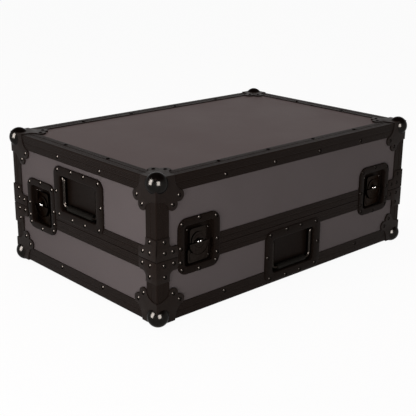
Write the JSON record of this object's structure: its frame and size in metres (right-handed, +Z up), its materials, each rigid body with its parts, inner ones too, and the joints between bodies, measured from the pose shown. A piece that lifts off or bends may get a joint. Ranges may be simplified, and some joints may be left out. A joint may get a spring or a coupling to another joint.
{
  "type": "dj controller flight case",
  "caption": "Two-part flight case with a low tray, a lift-off lid, ball corners, recessed butterfly latches, sprung handles and a foam bed.",
  "frame": {"origin": "on the floor under the middle of the case, at the four corner flats", "axes": "+X along the long front side, to the right seen from the front; the front faces -Y; +Z up"},
  "size_m": [0.7404, 0.498, 0.2941],
  "materials": {
    "panel_laminate": "satin grey phenolic laminate on plywood",
    "edge_extrusion": "black anodised, finely ribbed",
    "corner_steel": "gloss black pressed steel",
    "brace_steel": "satin black pressed steel",
    "dish_steel": "satin black pressed steel",
    "latch_steel": "black zinc plated steel",
    "bail_steel": "black zinc plated steel wire",
    "grip_rubber": "matte moulded rubber",
    "lining_foam": "matte black closed-cell foam"
  },
  "bodies": {
    "base": {"base_bottom_panel": "panel_laminate", "base_front_panel": "panel_laminate", "base_rear_panel": "panel_laminate", "base_left_panel": "panel_laminate", "base_right_panel": "panel_laminate", "base_edge_frame": "edge_extrusion", "base_rim": "edge_extrusion", "base_foam_bed": "lining_foam", "base_ball_corner_front_left": "corner_steel", "base_ball_corner_front_right": "corner_steel", "base_ball_corner_rear_left": "corner_steel", "base_ball_corner_rear_right": "corner_steel", "base_corner_brace_front_left": "brace_steel", "base_corner_brace_front_right": "brace_steel", "base_corner_brace_rear_left": "brace_steel", "base_corner_brace_rear_right": "brace_steel", "catch_dish_front_left": "dish_steel", "catch_dish_front_right": "dish_steel", "catch_dish_left_end": "dish_steel", "catch_dish_right_end": "dish_steel", "front_handle_dish": "dish_steel"},
    "lid": {"lid_top_panel": "panel_laminate", "lid_front_panel": "panel_laminate", "lid_rear_panel": "panel_laminate", "lid_left_panel": "panel_laminate", "lid_right_panel": "panel_laminate", "lid_edge_frame": "edge_extrusion", "lid_rim": "edge_extrusion", "lid_ball_corner_front_left": "corner_steel", "lid_ball_corner_front_right": "corner_steel", "lid_ball_corner_rear_left": "corner_steel", "lid_ball_corner_rear_right": "corner_steel", "lid_corner_brace_front_left": "brace_steel", "lid_corner_brace_front_right": "brace_steel", "lid_corner_brace_rear_left": "brace_steel", "lid_corner_brace_rear_right": "brace_steel", "latch_dish_front_left": "dish_steel", "latch_dish_front_right": "dish_steel", "latch_dish_left_end": "dish_steel", "latch_dish_right_end": "dish_steel", "left_handle_dish": "dish_steel", "right_handle_dish": "dish_steel"},
    "latch_rotor_front_left": {"latch_rotor_front_left": "latch_steel"},
    "latch_wing_front_left": {"latch_wing_front_left": "latch_steel"},
    "latch_hook_front_left": {"latch_hook_front_left": "latch_steel"},
    "latch_rotor_front_right": {"latch_rotor_front_right": "latch_steel"},
    "latch_wing_front_right": {"latch_wing_front_right": "latch_steel"},
    "latch_hook_front_right": {"latch_hook_front_right": "latch_steel"},
    "latch_rotor_left_end": {"latch_rotor_left_end": "latch_steel"},
    "latch_wing_left_end": {"latch_wing_left_end": "latch_steel"},
    "latch_hook_left_end": {"latch_hook_left_end": "latch_steel"},
    "latch_rotor_right_end": {"latch_rotor_right_end": "latch_steel"},
    "latch_wing_right_end": {"latch_wing_right_end": "latch_steel"},
    "latch_hook_right_end": {"latch_hook_right_end": "latch_steel"},
    "front_bail": {"front_handle_bail": "bail_steel", "front_handle_grip": "grip_rubber"},
    "left_bail": {"left_handle_bail": "bail_steel", "left_handle_grip": "grip_rubber"},
    "right_bail": {"right_handle_bail": "bail_steel", "right_handle_grip": "grip_rubber"}
  },
  "joints": [
    {"name": "lid_lift", "type": "slide", "parent": "base", "child": "lid", "axis": [0, 0, 1], "range_m": [0, 0.25]},
    {"name": "latch_turn_front_left", "type": "hinge", "parent": "lid", "child": "latch_rotor_front_left", "pos_m": [-0.25975, -0.24, 0.1496], "axis": [0, -1, 0], "range_deg": [0, 180]},
    {"name": "hook_draw_front_left", "type": "slide", "parent": "lid", "child": "latch_hook_front_left", "axis": [0, 0.6549, 0.7557], "range_m": [0, 0.00397]},
    {"name": "wing_fold_front_left", "type": "hinge", "parent": "latch_rotor_front_left", "child": "latch_wing_front_left", "pos_m": [-0.25975, -0.2405, 0.1496], "axis": [-1, 0, 0], "range_deg": [0, 90]},
    {"name": "latch_turn_front_right", "type": "hinge", "parent": "lid", "child": "latch_rotor_front_right", "pos_m": [0.25975, -0.24, 0.1496], "axis": [0, -1, 0], "range_deg": [0, 180]},
    {"name": "hook_draw_front_right", "type": "slide", "parent": "lid", "child": "latch_hook_front_right", "axis": [0, 0.6549, 0.7557], "range_m": [0, 0.00397]},
    {"name": "wing_fold_front_right", "type": "hinge", "parent": "latch_rotor_front_right", "child": "latch_wing_front_right", "pos_m": [0.25975, -0.2405, 0.1496], "axis": [-1, 0, 0], "range_deg": [0, 90]},
    {"name": "latch_turn_left_end", "type": "hinge", "parent": "lid", "child": "latch_rotor_left_end", "pos_m": [-0.36125, 0.1344, 0.1496], "axis": [-1, 0, 0], "range_deg": [0, 180]},
    {"name": "hook_draw_left_end", "type": "slide", "parent": "lid", "child": "latch_hook_left_end", "axis": [0.6549, 0, 0.7557], "range_m": [0, 0.00397]},
    {"name": "wing_fold_left_end", "type": "hinge", "parent": "latch_rotor_left_end", "child": "latch_wing_left_end", "pos_m": [-0.36175, 0.1344, 0.1496], "axis": [0, 1, 0], "range_deg": [0, 90]},
    {"name": "latch_turn_right_end", "type": "hinge", "parent": "lid", "child": "latch_rotor_right_end", "pos_m": [0.36125, 0.1344, 0.1496], "axis": [1, 0, 0], "range_deg": [0, 180]},
    {"name": "hook_draw_right_end", "type": "slide", "parent": "lid", "child": "latch_hook_right_end", "axis": [-0.6549, 0, 0.7557], "range_m": [0, 0.00397]},
    {"name": "wing_fold_right_end", "type": "hinge", "parent": "latch_rotor_right_end", "child": "latch_wing_right_end", "pos_m": [0.36175, 0.1344, 0.1496], "axis": [0, -1, 0], "range_deg": [0, 90]},
    {"name": "front_handle_swing", "type": "hinge", "parent": "base", "child": "front_bail", "pos_m": [0, -0.234, 0.0966], "axis": [-1, 0, 0], "range_deg": [0, 90], "stiffness_Nm_per_rad": 0.35, "springref_deg": -17.19},
    {"name": "left_handle_swing", "type": "hinge", "parent": "lid", "child": "left_bail", "pos_m": [-0.35525, 0, 0.22135], "axis": [0, 1, 0], "range_deg": [0, 90], "stiffness_Nm_per_rad": 0.35, "springref_deg": -17.19},
    {"name": "right_handle_swing", "type": "hinge", "parent": "lid", "child": "right_bail", "pos_m": [0.35525, 0, 0.22135], "axis": [0, -1, 0], "range_deg": [0, 90], "stiffness_Nm_per_rad": 0.35, "springref_deg": -17.19}
  ],
  "couplings": [
    {"joint": "latch_turn_front_left", "follows": "hook_draw_front_left", "rad_per_m": 791.33},
    {"joint": "latch_turn_front_right", "follows": "hook_draw_front_right", "rad_per_m": 791.33},
    {"joint": "latch_turn_left_end", "follows": "hook_draw_left_end", "rad_per_m": 791.33},
    {"joint": "latch_turn_right_end", "follows": "hook_draw_right_end", "rad_per_m": 791.33}
  ]
}
